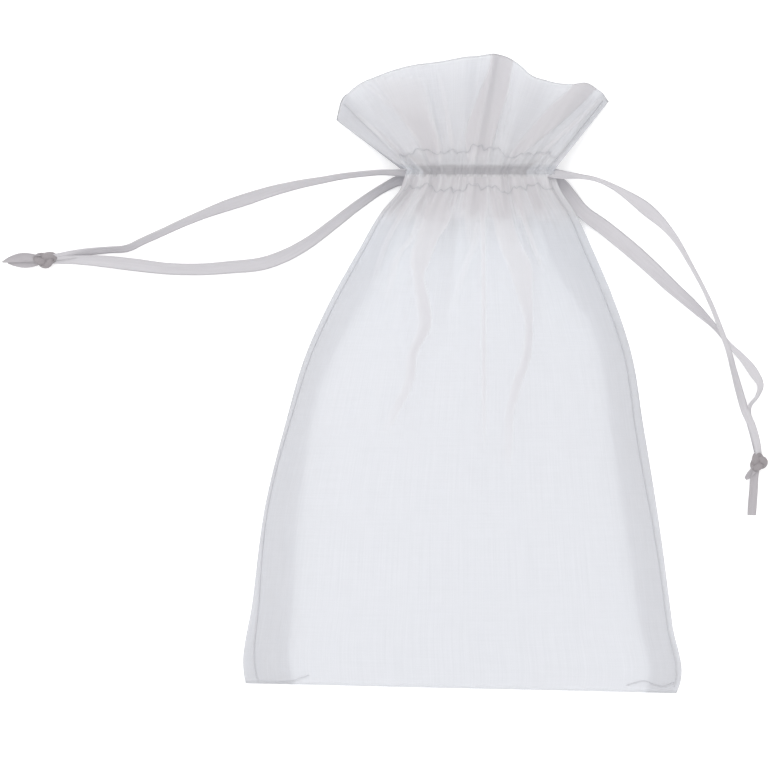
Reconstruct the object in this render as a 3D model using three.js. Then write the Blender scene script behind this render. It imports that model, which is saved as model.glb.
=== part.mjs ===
// A drawstring gift pouch of sheer organza, lying on its back with the neck gathered.
// Millimetres. X runs across the pouch, Y from the bottom fold to the mouth, Z up from the table.
// The origin is at the middle of the pouch's own footprint, on the table.
import * as THREE from "three";

// ---- Driving dimensions ----
const CLOTH = 0.4; // thickness of a cloth solid
const GAP = 0.3; // clearance between pieces that touch
const THREAD_RADIUS = 0.25;
const RIBBON_WIDTH = 5; // a 6 mm ribbon, a little crumpled
const RIBBON_THICKNESS = 0.4;
const TAIL_WIDTH = 3; // the ribbon's short ends past each knot are part folded
const CHANNEL_GAP = 1.8; // between panel and facing where the two ribbons run
const FOLD_GAP = 0.35; // between panel and facing everywhere else
const ALLOWANCE_WIDTH = 12; // of the seam allowances turned inside
const SLACK = 4; // how far each drawstring pulls out before its turn lies snug on the neck

// Heights of the clear space between the two panels
const CLOSED = 1.0; // at a closed side seam, room for the seam allowance
const LINED = 2.0; // at a closed side seam with both facings in it
const NECK = 9.8; // through the gathered neck

// The pouch from bottom fold to mouth. Each station gives the left and right edge of the cloth,
// and the clear space between the panels at the edges and in the middle.
const STATIONS = [
  { left: [-76.7, -108], right: [76.7, -111.4], edge: CLOSED, middle: CLOSED },
  { left: [-75.6, -92], right: [74.4, -92], edge: CLOSED, middle: 6 },
  { left: [-71.3, -61], right: [70.2, -61], edge: CLOSED, middle: 8.4 },
  { left: [-67, -34], right: [66.4, -34], edge: CLOSED, middle: 9 },
  { left: [-60, -8], right: [62.4, -8], edge: CLOSED, middle: 9.4 },
  { left: [-54, 10], right: [59, 10], edge: CLOSED, middle: 9.6 },
  { left: [-46.3, 27], right: [53.4, 27], edge: CLOSED, middle: NECK },
  { left: [-36.6, 44], right: [45.8, 44], edge: LINED, middle: NECK },
  { left: [-27.6, 58.6], right: [37.4, 58.6], edge: 5, middle: NECK },
  { left: [-20.2, 66.4], right: [32, 66.4], edge: NECK, middle: NECK },
  { left: [-19, 71], right: [31.2, 71], edge: NECK, middle: NECK },
  { left: [-20.5, 75.4], right: [32.2, 75.4], edge: NECK, middle: NECK },
  { left: [-23.6, 79.4], right: [34.2, 79.4], edge: NECK, middle: NECK },
  { left: [-35.5, 85], right: [41.4, 86.4], edge: 4.4, middle: 11 },
  { left: [-44, 91], right: [51, 97], edge: LINED, middle: 13 },
];
const LAST = STATIONS.length - 1;
const at = (station) => station / LAST; // a place along the pouch, from 0 at the fold to 1
const CHANNEL_BOTTOM = at(9); // the two rows of casing stitches
const CHANNEL_TOP = at(12);
const FACING_EDGE = at(7.7); // the raw lower edge of the turned-down hem
const MOUTH_CROWN = 17.4; // how far the middle of the mouth stands past its corners

// ---- Where the cloth lies ----
const { lerp, smoothstep } = THREE.MathUtils;
const edgeLine = (pick) => new THREE.CatmullRomCurve3(STATIONS.map((s) => new THREE.Vector3(...pick(s), 0)));
const LEFT_EDGE = edgeLine((s) => s.left);
const RIGHT_EDGE = edgeLine((s) => s.right);

// The clear space at v, passing level through each station so that the neck stays straight.
function clearSpace(v, which) {
  const station = Math.min(Math.floor(v * LAST), LAST - 1);
  const share = smoothstep(v * LAST - station, 0, 1);
  return lerp(STATIONS[station][which], STATIONS[station + 1][which], share);
}

// The point of the cloth at u (-1 left, 1 right) and v (0 fold, 1 mouth); z is the clear space there.
function clothPoint(u, v) {
  const left = LEFT_EDGE.getPoint(v);
  const right = RIGHT_EDGE.getPoint(v);
  const point = left.clone().lerp(right, (u + 1) / 2);
  const crown = Math.sqrt(Math.max(0, 1 - u * u));
  point.y += MOUTH_CROWN * crown * smoothstep(v, CHANNEL_TOP, 1);
  const open = Math.pow(Math.max(0, 1 - Math.abs(u) ** 2.4), 0.8);
  point.z = lerp(clearSpace(v, "edge"), clearSpace(v, "middle"), open);
  return point;
}

const frontUnder = (point) => CLOTH + point.z; // underside of the front panel
const frontTop = (point) => frontUnder(point) + CLOTH;

// How far a facing stands off its panel.
function facingGap(v) {
  const reach = 0.03;
  const above = smoothstep(v, CHANNEL_BOTTOM - reach, CHANNEL_BOTTOM);
  const below = 1 - smoothstep(v, CHANNEL_TOP, CHANNEL_TOP + reach);
  return lerp(FOLD_GAP, CHANNEL_GAP, Math.min(above, below));
}

// ---- Materials ----
const finish = (name, color, opacity, roughness) =>
  new THREE.MeshStandardMaterial({
    name, color, roughness, metalness: 0, transparent: opacity < 1, opacity,
  });
const ORGANZA = finish("organza", 0xe6e9ef, 0.5, 0.55);
const RIBBON = finish("ribbon", 0xd2d0d6, 1, 0.45);
const THREAD = finish("thread", 0xd9d9dd, 1, 0.6);

const pouch = new THREE.Group();

function addPiece(name, geometry, material) {
  const piece = new THREE.Mesh(geometry, material);
  piece.name = name;
  pouch.add(piece);
}

// ---- Cloth ----
// A sheet of cloth: a thin box bent so that its u runs from uFrom(v) to uTo(v) and its v over the
// given stretch, with underside(point, v) giving the height of its lower face.
function clothSheet({ columns, rows, vFrom, vTo, uFrom, uTo, underside }) {
  const sheet = new THREE.BoxGeometry(1, 1, 1, columns, rows, 1);
  const place = sheet.getAttribute("position");
  for (let i = 0; i < place.count; i++) {
    const v = lerp(vFrom, vTo, place.getY(i) + 0.5);
    const u = lerp(uFrom(v), uTo(v), place.getX(i) + 0.5);
    const point = clothPoint(u, v);
    const lift = (place.getZ(i) + 0.5) * CLOTH;
    place.setXYZ(i, point.x, point.y, underside(point, v) + lift);
  }
  return sheet;
}

const edgeToEdge = { uFrom: () => -1, uTo: () => 1 };

function addPanels() {
  addPiece("back_panel", clothSheet({
    columns: 10, rows: 28, vFrom: 0, vTo: 1, ...edgeToEdge, underside: () => 0,
  }), ORGANZA);
  addPiece("front_panel", clothSheet({
    columns: 16, rows: 28, vFrom: 0, vTo: 1, ...edgeToEdge, underside: frontUnder,
  }), ORGANZA);
}

// The hem turned down inside the mouth. It lines the ruffle, forms the casing and ends below it.
function addFacings() {
  const shared = {
    columns: 10, rows: 16, vFrom: FACING_EDGE, vTo: at(13.9),
    uFrom: () => -0.9, uTo: () => 0.9,
  };
  addPiece("front_facing", clothSheet({
    ...shared, underside: (point, v) => frontUnder(point) - facingGap(v) - CLOTH,
  }), ORGANZA);
  addPiece("back_facing", clothSheet({
    ...shared, underside: (point, v) => CLOTH + facingGap(v),
  }), ORGANZA);
}

// A distance in from an edge, as a share of the half width at v.
const inset = (distance, v) => {
  const half = (RIGHT_EDGE.getPoint(v).x - LEFT_EDGE.getPoint(v).x) / 2;
  return distance / half;
};

// The raw side edges of the cloth, turned inside the pouch beyond each seam.
function addSeamAllowances() {
  const edge = 1; // the strip's outer side, in from the edge of the pouch
  const far = edge + ALLOWANCE_WIDTH;
  const shared = { columns: 2, rows: 20, vFrom: at(0.1), vTo: at(7.2), underside: () => CLOTH + GAP };
  addPiece("left_seam_allowance", clothSheet({
    ...shared, uFrom: (v) => inset(edge, v) - 1, uTo: (v) => inset(far, v) - 1,
  }), ORGANZA);
  addPiece("right_seam_allowance", clothSheet({
    ...shared, uFrom: (v) => 1 - inset(far, v), uTo: (v) => 1 - inset(edge, v),
  }), ORGANZA);
}

// ---- Thread and ribbon ----
// A round thread through the given points.
function thread(points, steps) {
  const sides = 6;
  const section = new THREE.Shape();
  for (let i = 0; i < sides; i++) {
    const turn = (i / sides) * 2 * Math.PI;
    const corner = [Math.cos(turn) * THREAD_RADIUS, Math.sin(turn) * THREAD_RADIUS];
    if (i === 0) section.moveTo(...corner);
    else section.lineTo(...corner);
  }
  section.closePath();
  const path = new THREE.CatmullRomCurve3(points.map((p) => new THREE.Vector3(...p)), false, "centripetal");
  return new THREE.ExtrudeGeometry(section, { steps, bevelEnabled: false, extrudePath: path });
}

// A flat ribbon through the given points: a thin box bent along them, its width kept level, or
// held along sideways where the ribbon runs up and down.
function ribbon(points, width, steps, sideways) {
  const path = new THREE.CatmullRomCurve3(points.map((p) => new THREE.Vector3(...p)), false, "centripetal");
  const strip = new THREE.BoxGeometry(1, 1, 1, 1, steps, 1);
  const place = strip.getAttribute("position");
  for (let i = 0; i < place.count; i++) {
    const along = path.getTangentAt(place.getY(i) + 0.5);
    const across = sideways ?? new THREE.Vector3(along.y, -along.x, 0).normalize();
    const off = new THREE.Vector3().crossVectors(across, along).normalize();
    const point = path.getPointAt(place.getY(i) + 0.5);
    point.addScaledVector(across, place.getX(i) * width);
    point.addScaledVector(off, place.getZ(i) * RIBBON_THICKNESS);
    place.setXYZ(i, point.x, point.y, point.z);
  }
  return strip;
}

// A thread along the cloth at uOf(v), lying on the front panel.
function seamThread(uOf, vFrom, vTo) {
  const count = 22;
  const points = [];
  for (let i = 0; i <= count; i++) {
    const v = lerp(vFrom, vTo, i / count);
    const point = clothPoint(uOf(v), v);
    points.push([point.x, point.y, frontTop(point) + GAP + THREAD_RADIUS]);
  }
  return thread(points, count);
}

// The side seams run a few millimetres inside the edge, further in where they start at the fold.
function addSeamThreads() {
  const leftInset = (v) => lerp(5, 1.4, smoothstep(v, 0, 0.25)) + 1.6 * smoothstep(v, 0.35, 0.6);
  const rightInset = (v) => lerp(1.6, 2.8, smoothstep(v, 0, 0.3));
  addPiece("left_seam_thread", seamThread((v) => inset(leftInset(v), v) - 1, at(0.15), at(8.6)), THREAD);
  addPiece("right_seam_thread", seamThread((v) => 1 - inset(rightInset(v), v), at(0.15), at(8.6)), THREAD);
}

// The loose ends that each side seam leaves along the bottom fold.
function addThreadTails() {
  const tails = {
    left_thread_tail: [[-0.9, 0.012], [-0.83, 0.008], [-0.76, 0.01], [-0.72, 0.016]],
    right_thread_tail: [[0.94, 0.014], [0.86, 0.018], [0.8, 0.02], [0.75, 0.014]],
  };
  for (const [name, route] of Object.entries(tails)) {
    const points = route.map(([u, v]) => {
      const point = clothPoint(u, v);
      return [point.x, point.y, frontTop(point) + GAP + THREAD_RADIUS];
    });
    addPiece(name, thread(points, 8), THREAD);
  }
}

// Two rows of stitches hold each facing to its panel, one below and one above the ribbons.
function addCasingThreads() {
  const rows = { lower: CHANNEL_BOTTOM - 0.012, upper: CHANNEL_TOP - 0.002 };
  const heights = { back: () => CLOTH + CHANNEL_GAP / 2, front: (p) => frontUnder(p) - CHANNEL_GAP / 2 };
  for (const [row, v] of Object.entries(rows)) {
    for (const [side, height] of Object.entries(heights)) {
      const points = [];
      for (let u = -0.85; u < 0.86; u += 0.17) {
        const point = clothPoint(u, v);
        points.push([point.x, point.y, height(point)]);
      }
      addPiece(`${side}_${row}_casing_thread`, thread(points, 10), THREAD);
    }
  }
}

// ---- Drawstrings ----
// Heights of the four ribbon runs: each drawstring has one in the front casing and one in the back.
const RUN = RIBBON_THICKNESS / 2 + GAP;
const BACK_LOW = CLOTH + RUN;
const BACK_HIGH = BACK_LOW + RIBBON_THICKNESS + GAP;
const FRONT_LOW = CLOTH + NECK - CHANNEL_GAP + RUN;
const FRONT_HIGH = FRONT_LOW + RIBBON_THICKNESS + GAP;
const ON_TABLE = RIBBON_THICKNESS / 2 + GAP; // a ribbon lying on the table
const ON_RIBBON = ON_TABLE + RIBBON_THICKNESS + GAP; // one lying on another ribbon
const TURN_Y = 76; // where a ribbon turns round the neck, above the other ribbon's strands

// One drawstring's loop through the casing, from its front exit round the far side of the neck to
// its back exit. side is the way it pulls: -1 for the left one and 1 for the right one.
function casingLoop({ side, exitX, turnX, frontY, backY, front, back }) {
  const radius = (front - back) / 2;
  const arc = [-60, -30, 0, 30, 60].map((degrees) => {
    const turn = THREE.MathUtils.degToRad(degrees);
    return [turnX - side * radius * Math.cos(turn), TURN_Y, back + radius + radius * Math.sin(-turn)];
  });
  const span = turnX - exitX;
  return ribbon([
    [exitX, frontY, front],
    [exitX + 0.15 * span, lerp(frontY, TURN_Y, 0.02), front],
    [exitX + 0.85 * span, lerp(frontY, TURN_Y, 0.98), front],
    [turnX, TURN_Y, front],
    ...arc,
    [turnX, TURN_Y, back],
    [exitX + 0.85 * span, lerp(backY, TURN_Y, 0.98), back],
    [exitX + 0.15 * span, lerp(backY, TURN_Y, 0.02), back],
    [exitX, backY, back],
  ], RIBBON_WIDTH, 44, new THREE.Vector3(0, side, 0));
}

const DRAWSTRINGS = {
  left: {
    loop: {
      side: -1, exitX: -21.5, turnX: 30 + SLACK, frontY: 70.9, backY: 68.4,
      front: FRONT_LOW, back: BACK_HIGH,
    },
    frontStrand: [
      [-22.2, 70.9, FRONT_LOW], [-27.6, 70.8, 8.2], [-34, 70.9, 6], [-42, 70.4, 3.2], [-49, 69.4, 1.4],
      [-57, 67.6, ON_TABLE], [-68, 64.8, ON_TABLE], [-76.6, 61.9, ON_TABLE], [-88, 58.2, ON_TABLE],
      [-102.4, 52.6, ON_TABLE], [-111, 49, 0.8], [-119.6, 45.9, ON_RIBBON], [-126, 44.6, ON_RIBBON],
      [-133, 43.6, ON_RIBBON], [-142, 42.2, 1.7],
    ],
    backStrand: [
      [-22.2, 68.4, BACK_HIGH], [-24.4, 68.1, 1.5], [-28.4, 66, 1], [-33.6, 62.4, ON_TABLE], [-42.2, 56.4, ON_TABLE],
      [-51, 51, ON_TABLE], [-59.4, 46, ON_TABLE], [-67, 42, ON_TABLE], [-74, 39.4, ON_TABLE],
      [-82, 38.3, ON_TABLE], [-94, 37.8, ON_TABLE], [-103.4, 38.1, ON_TABLE],
      [-111, 38.8, ON_TABLE], [-120, 40, ON_TABLE], [-128.4, 41, ON_TABLE], [-136, 41.4, ON_TABLE],
      [-142.2, 41.2, 0.7],
    ],
    knot: { centre: [-146.6, 41.1, 2.7], size: [6.8, 5.4, 4.6] },
    tails: {
      upper: [[-151, 41.4, 2.5], [-154.5, 41.7, 1.9], [-158.5, 41.2, 1.4], [-161.6, 40.3, 1.3]],
      lower: [[-151, 40.6, 1.3], [-154, 40.1, ON_TABLE], [-157, 39.8, ON_TABLE], [-160, 39.6, ON_TABLE]],
    },
  },
  right: {
    loop: {
      side: 1, exitX: 33.5, turnX: -18.5 - SLACK, frontY: 70.4, backY: 68.8,
      front: FRONT_HIGH, back: BACK_LOW,
    },
    frontStrand: [
      [34.2, 70.4, FRONT_HIGH], [41.4, 68.9, 8], [48.2, 66.6, 5.4], [55, 63.6, 3], [62, 60, 1.2],
      [67.2, 56, ON_TABLE], [72.4, 50.4, ON_TABLE], [77.6, 43, ON_TABLE], [82, 35.6, 0.9],
      [86.6, 26.8, ON_RIBBON], [90.2, 17.4, ON_RIBBON], [93.2, 7.4, ON_RIBBON],
      [95.6, -2.6, ON_RIBBON], [98, -9.8, ON_RIBBON], [100.8, -16, ON_RIBBON],
      [102.6, -22, 1.5], [103.2, -26, 1.8],
    ],
    backStrand: [
      [34.2, 68.8, BACK_LOW], [36.2, 68.5, 0.85], [39.4, 65.6, 0.6], [43, 60.8, ON_TABLE], [50.2, 53, ON_TABLE],
      [58.6, 46.2, ON_TABLE], [67, 39.2, ON_TABLE], [75.8, 31.8, ON_TABLE], [84, 24, ON_TABLE],
      [90, 17.4, ON_TABLE], [94, 12.2, ON_TABLE], [98.6, 8, ON_TABLE], [102.4, 3, ON_TABLE],
      [103.8, -2.6, ON_TABLE], [102.8, -8, ON_TABLE], [101, -12.6, ON_TABLE],
      [101.6, -18, ON_TABLE], [102.8, -24, ON_TABLE], [103.1, -26, 0.7],
    ],
    knot: { centre: [103.6, -30.2, 2.8], size: [5.6, 6.8, 4.8] },
    tails: {
      long: [[103.2, -34.3, 1.6], [102.4, -38, 0.7], [102, -43, ON_TABLE], [101.6, -48.2, ON_TABLE]],
      short: [[101.8, -33.6, 2.6], [100.6, -35, 2.2], [99.4, -36.6, 1.9]],
    },
  },
};

function addDrawstring(name, { loop, frontStrand, backStrand, knot, tails }) {
  addPiece(`${name}_ribbon_in_casing`, casingLoop(loop), RIBBON);
  addPiece(`${name}_front_strand`, ribbon(frontStrand, RIBBON_WIDTH, 40), RIBBON);
  addPiece(`${name}_back_strand`, ribbon(backStrand, RIBBON_WIDTH, 42), RIBBON);
  const ball = new THREE.SphereGeometry(0.5, 12, 8).scale(...knot.size).translate(...knot.centre);
  addPiece(`${name}_knot`, ball, RIBBON);
  for (const [tail, route] of Object.entries(tails)) {
    addPiece(`${name}_${tail}_tail`, ribbon(route, TAIL_WIDTH, 6), RIBBON);
  }
}

addPanels();
addFacings();
addSeamAllowances();
addSeamThreads();
addThreadTails();
addCasingThreads();
for (const [name, drawstring] of Object.entries(DRAWSTRINGS)) addDrawstring(name, drawstring);

export default pouch;
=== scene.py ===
"""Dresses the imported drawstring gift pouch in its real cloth, ribbon and thread.

The pouch is one sheet of sheer organza, folded along the bottom, sewn up both sides with its raw
edges turned in, and turned down inside the mouth to make a casing. Two flat ribbons run through
the casing, and each comes out at its own side as a loop whose ends are tied in a knot. X runs
across the pouch, Y from the bottom fold to the mouth and Z up from the table.
"""

import logging
import math
from dataclasses import dataclass, field
from enum import Enum

import bpy
import numpy as np
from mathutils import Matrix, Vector

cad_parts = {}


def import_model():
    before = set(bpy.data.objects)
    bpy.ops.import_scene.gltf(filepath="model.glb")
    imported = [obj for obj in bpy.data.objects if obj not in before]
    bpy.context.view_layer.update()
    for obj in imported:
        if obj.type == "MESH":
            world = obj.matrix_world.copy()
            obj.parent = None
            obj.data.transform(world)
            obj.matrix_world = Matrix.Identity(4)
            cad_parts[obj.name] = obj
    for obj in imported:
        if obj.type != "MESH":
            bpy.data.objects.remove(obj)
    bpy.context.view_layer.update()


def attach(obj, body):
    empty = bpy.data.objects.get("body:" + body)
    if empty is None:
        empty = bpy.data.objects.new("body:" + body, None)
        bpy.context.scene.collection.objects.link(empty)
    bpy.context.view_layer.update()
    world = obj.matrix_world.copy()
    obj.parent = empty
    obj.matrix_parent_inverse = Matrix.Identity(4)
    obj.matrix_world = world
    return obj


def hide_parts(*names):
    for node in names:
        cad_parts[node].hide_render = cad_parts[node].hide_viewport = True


MM = 0.001
UP = (0.0, 0.0, 1.0)
log = logging.getLogger("gift_pouch")

Points = tuple[tuple[float, ...], ...]


# ---- Small maths ----


def through(points: Points, place: np.ndarray, column: int = 1) -> np.ndarray:
    """Reads a smooth curve through table points.

    Args:
        points: rows that start with a place, in rising order, and go on with values.
        place: where the curve is read.
        column: which value of each row is wanted.

    Returns:
        The values at each place, held at the first and last point's beyond them.
    """
    table = np.array(points, float)
    xs, ys = table[:, 0], table[:, column]
    slope = np.gradient(ys, xs)
    at = np.clip(place, xs[0], xs[-1])
    i = np.clip(np.searchsorted(xs, at, side="right") - 1, 0, len(xs) - 2)
    width = xs[i + 1] - xs[i]
    t = (at - xs[i]) / width
    start = (2 * t**3 - 3 * t**2 + 1) * ys[i] + (t**3 - 2 * t**2 + t) * width * slope[i]
    end = (3 * t**2 - 2 * t**3) * ys[i + 1] + (t**3 - t**2) * width * slope[i + 1]
    return start + end


def ease(value: np.ndarray, low: float, high: float) -> np.ndarray:
    """Rises smoothly from 0 at low to 1 at high."""
    t = np.clip((np.asarray(value, float) - low) / (high - low), 0, 1)
    return t * t * (3 - 2 * t)


def mix(a: np.ndarray, b: np.ndarray, share: np.ndarray) -> np.ndarray:
    """Goes from a to b by share."""
    return a + (b - a) * share


def ripple(count: float, place: np.ndarray, phase: float) -> np.ndarray:
    """An uneven wave from 0 to 1 with count crests over a place that runs from -1 to 1."""
    uneven = place + 0.035 * np.sin(5.3 * place + phase) + 0.018 * np.sin(13.1 * place + 2 * phase)
    return 0.5 + 0.5 * np.sin(math.pi * count * uneven + phase)


def run_along(path: np.ndarray) -> np.ndarray:
    """Measures how far along a path each of its points lies."""
    return np.concatenate([[0], np.cumsum(np.linalg.norm(np.diff(path, axis=0), axis=1))])


def unit(ways: np.ndarray) -> np.ndarray:
    """Brings each row to length 1."""
    return ways / np.maximum(np.linalg.norm(ways, axis=1), 1e-6)[:, None]


# ---- Meshes ----


def new_mesh(name: str, points: np.ndarray, faces: list[tuple[int, ...]], uv: np.ndarray) -> bpy.types.Object:
    """Makes a mesh object from points in millimetres.

    Args:
        name: the piece's name.
        points: one row of x, y, z for each point.
        faces: the points of each face, in order.
        uv: one row of u, v for each point, in millimetres of cloth.

    Returns:
        The new object, at the origin and smooth shaded.
    """
    mesh = bpy.data.meshes.new(name)
    mesh.from_pydata([tuple(p) for p in points * MM], [], faces)
    layer = mesh.uv_layers.new(name="cloth")
    loops = np.empty(len(mesh.loops), np.int32)
    mesh.loops.foreach_get("vertex_index", loops)
    layer.data.foreach_set("uv", (uv[loops] * MM).astype(np.float32).ravel())
    mesh.polygons.foreach_set("use_smooth", np.ones(len(mesh.polygons), bool))
    mesh.update()
    piece = bpy.data.objects.new(name, mesh)
    bpy.context.scene.collection.objects.link(piece)
    return piece


def grid_faces(rows: int, columns: int, wrapped: bool = False) -> list[tuple[int, ...]]:
    """Lists the quads of a grid of points, row by row; a wrapped grid's last column meets its first."""
    last = columns if wrapped else columns - 1
    faces = []
    for r in range(rows - 1):
        for c in range(last):
            right = (c + 1) % columns
            here, above = r * columns, (r + 1) * columns
            faces.append((here + c, here + right, above + right, above + c))
    return faces


def only(piece: bpy.types.Object) -> None:
    """Selects one object and nothing else, and makes it active."""
    bpy.ops.object.select_all(action="DESELECT")
    piece.select_set(True)
    bpy.context.view_layer.objects.active = piece


def tube(name: str, path: np.ndarray, radius: float, sides: int = 6) -> bpy.types.Object:
    """Makes a closed round thread along a path.

    Args:
        name: the piece's name.
        path: points in millimetres.
        radius: the thread's radius in millimetres.
        sides: how many faces go round it.

    Returns:
        The thread's object.
    """
    along = unit(np.gradient(path, axis=0))
    across = unit(np.cross(along, UP))
    off = np.cross(across, along)
    turns = np.arange(sides) / sides * 2 * math.pi
    ring = across[:, None] * np.cos(turns)[None, :, None] - off[:, None] * np.sin(turns)[None, :, None]
    points = (path[:, None] + radius * ring).reshape(-1, 3)
    faces = grid_faces(len(path), sides, wrapped=True)
    faces.append(tuple(range(sides - 1, -1, -1)))
    last = (len(path) - 1) * sides
    faces.append(tuple(range(last, last + sides)))
    run = run_along(path)
    uv = np.stack([np.tile(turns * radius, len(path)), np.repeat(run, sides)], axis=1)
    return new_mesh(name, points, faces, uv)


# ---- Shader nodes ----


class Wire:
    """A shader value. Sums and products on wires add Math nodes."""

    def __init__(self, shader: "Shader", socket: bpy.types.NodeSocket) -> None:
        """Holds a socket of the shader's tree."""
        self.shader = shader
        self.socket = socket

    def _math(self, operation: str, *values: "Wire | float") -> "Wire":
        """Adds one Math node."""
        inputs = dict(enumerate(values))
        return self.shader.node("ShaderNodeMath", {"operation": operation}, inputs)[0]

    def __add__(self, other: "Wire | float") -> "Wire":
        """self + other."""
        return self._math("ADD", self, other)

    __radd__ = __add__

    def __sub__(self, other: "Wire | float") -> "Wire":
        """self - other."""
        return self._math("SUBTRACT", self, other)

    def __rsub__(self, other: "Wire | float") -> "Wire":
        """other - self."""
        return self._math("SUBTRACT", other, self)

    def __mul__(self, other: "Wire | float") -> "Wire":
        """self * other."""
        return self._math("MULTIPLY", self, other)

    __rmul__ = __mul__

    def __truediv__(self, other: "Wire | float") -> "Wire":
        """self / other."""
        return self._math("DIVIDE", self, other)

    def __pow__(self, other: "Wire | float") -> "Wire":
        """self ** other."""
        return self._math("POWER", self, other)

    def sine(self) -> "Wire":
        """The sine of self, in radians."""
        return self._math("SINE", self)

    def absolute(self) -> "Wire":
        """self without its sign."""
        return self._math("ABSOLUTE", self)

    def most(self, other: "Wire | float") -> "Wire":
        """The larger of self and other."""
        return self._math("MAXIMUM", self, other)


class Shader:
    """A material's node tree, filled by one method."""

    def __init__(self, name: str) -> None:
        """Starts an empty material with that name."""
        self.material = bpy.data.materials.new(name)
        self.material.use_nodes = True
        self.tree = self.material.node_tree
        self.tree.nodes.clear()

    def node(self, kind: str, settings: dict | None = None, inputs: dict | None = None) -> list[Wire]:
        """Adds a node.

        Args:
            kind: the node's type.
            settings: its properties, set before its sockets.
            inputs: values or wires for its inputs, by name or number.

        Returns:
            Its outputs.
        """
        node = self.tree.nodes.new(kind)
        for name, value in (settings or {}).items():
            setattr(node, name, value)
        for name, value in (inputs or {}).items():
            if isinstance(value, Wire):
                self.tree.links.new(value.socket, node.inputs[name])
            else:
                node.inputs[name].default_value = value
        return [Wire(self, socket) for socket in node.outputs]

    def cloth_place(self) -> tuple[Wire, Wire]:
        """The place on the cloth, across and along, in metres."""
        uv = self.node("ShaderNodeUVMap", {"uv_map": "cloth"})[0]
        across, along, _ = self.node("ShaderNodeSeparateXYZ", inputs={"Vector": uv})
        return across, along

    def streaks(self, across: Wire, along: Wire, width: float, length: float, seed: float) -> Wire:
        """Noise drawn out along one way of the cloth, from 0 to 1.

        Args:
            across: the place across the streaks, in metres.
            along: the place along them, in metres.
            width: how wide a streak is, in metres.
            length: how long a streak is, in metres.
            seed: shifts the pattern, so that two of them differ.

        Returns:
            The streaks' strength.
        """
        place = self.node(
            "ShaderNodeCombineXYZ", inputs={0: across / width, 1: along / length, 2: seed}
        )[0]
        return self.node("ShaderNodeTexNoise", inputs={"Vector": place, "Scale": 1.0, "Detail": 2.0})[0]

    def blend(self, low: tuple, high: tuple, share: Wire) -> Wire:
        """A colour that goes from low to high."""
        settings = {"data_type": "RGBA", "clamp_factor": True}
        return self.node("ShaderNodeMix", settings, {0: share, 6: low, 7: high})[2]

    def bump(self, height: Wire, strength: float, distance: float) -> Wire:
        """Tilts the surface by a height from 0 to about 1, over that distance in metres."""
        inputs = {"Strength": strength, "Distance": distance, "Height": height}
        return self.node("ShaderNodeBump", inputs=inputs)[0]

    def lit_through(self, face: Wire, glow: tuple, share: float) -> Wire:
        """Mixes in that share of light from behind."""
        behind = self.node("ShaderNodeBsdfTranslucent", inputs={"Color": glow})[0]
        return self.node("ShaderNodeMixShader", inputs={0: share, 1: face, 2: behind})[0]

    def finish(self, surface: Wire) -> bpy.types.Material:
        """Ends the material with that surface."""
        self.node("ShaderNodeOutputMaterial", inputs={"Surface": surface})
        return self.material


# ---- Finishes ----


@dataclass(frozen=True)
class OrganzaFinish:
    """Sheer plain-weave organza: fine stiff yarns with open gaps between them."""

    pitch: float = 0.34 * MM
    coverage: float = 0.648
    yarn: tuple = (0.865, 0.848, 0.862, 1)
    shaded_yarn: tuple = (0.785, 0.77, 0.783, 1)
    # Painted shade: the darker, greyer colour that gathered and folded cloth takes.
    stacked_layer_shade: tuple = (0.695, 0.672, 0.69, 1)
    glow: tuple = (0.67, 0.70, 0.74, 1)
    gap: tuple = (0.955, 0.98, 1.0, 1)
    through_share: float = 0.30

    def material(self) -> bpy.types.Material:
        """Builds the material; its opacity follows the weave and how tightly the cloth is gathered."""
        shader = Shader("organza")
        across, along = shader.cloth_place()
        warp = (across * (math.pi / self.pitch)).sine().absolute()
        weft = (along * (math.pi / self.pitch)).sine().absolute()
        grid = warp.most(weft)
        slub = shader.streaks(across, along, 0.5 * MM, 30 * MM, 1.0)
        cross_slub = shader.streaks(along, across, 0.5 * MM, 22 * MM, 7.0)
        cloud = shader.streaks(across, along, 9 * MM, 11 * MM, 3.0)
        evenness = 0.89 + 0.07 * (slub + cross_slub) + 0.08 * cloud
        covered = self.coverage * evenness * (0.90 + 0.13 * grid)
        gather = shader.node("ShaderNodeAttribute", {"attribute_name": "gather"})[2]
        opacity = 1 - (1 - covered) ** gather
        loose = shader.blend(self.shaded_yarn, self.yarn, 0.35 + 0.65 * slub)
        # Painted shade: where the cloth is gathered, folded or crowded at the neck, its colour darkens with
        # the gather toward a darker shade colour.
        color = shader.node(
            "ShaderNodeMix", {"data_type": "RGBA"}, {0: (gather - 1) * 0.52, 6: loose, 7: self.stacked_layer_shade}
        )[2]
        bump = shader.bump(grid + 0.5 * slub, 0.15, 0.06 * MM)
        yarns = shader.node(
            "ShaderNodeBsdfPrincipled",
            inputs={
                "Base Color": color, "Roughness": 0.55, "Specular IOR Level": 0.3,
                "Sheen Weight": 0.25, "Sheen Roughness": 0.4, "Normal": bump,
            },
        )[0]
        cloth = shader.lit_through(yarns, self.glow, self.through_share)
        gap = shader.node("ShaderNodeBsdfTransparent", inputs={"Color": self.gap})[0]
        surface = shader.node("ShaderNodeMixShader", inputs={0: opacity, 1: gap, 2: cloth})[0]
        return shader.finish(surface)


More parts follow.
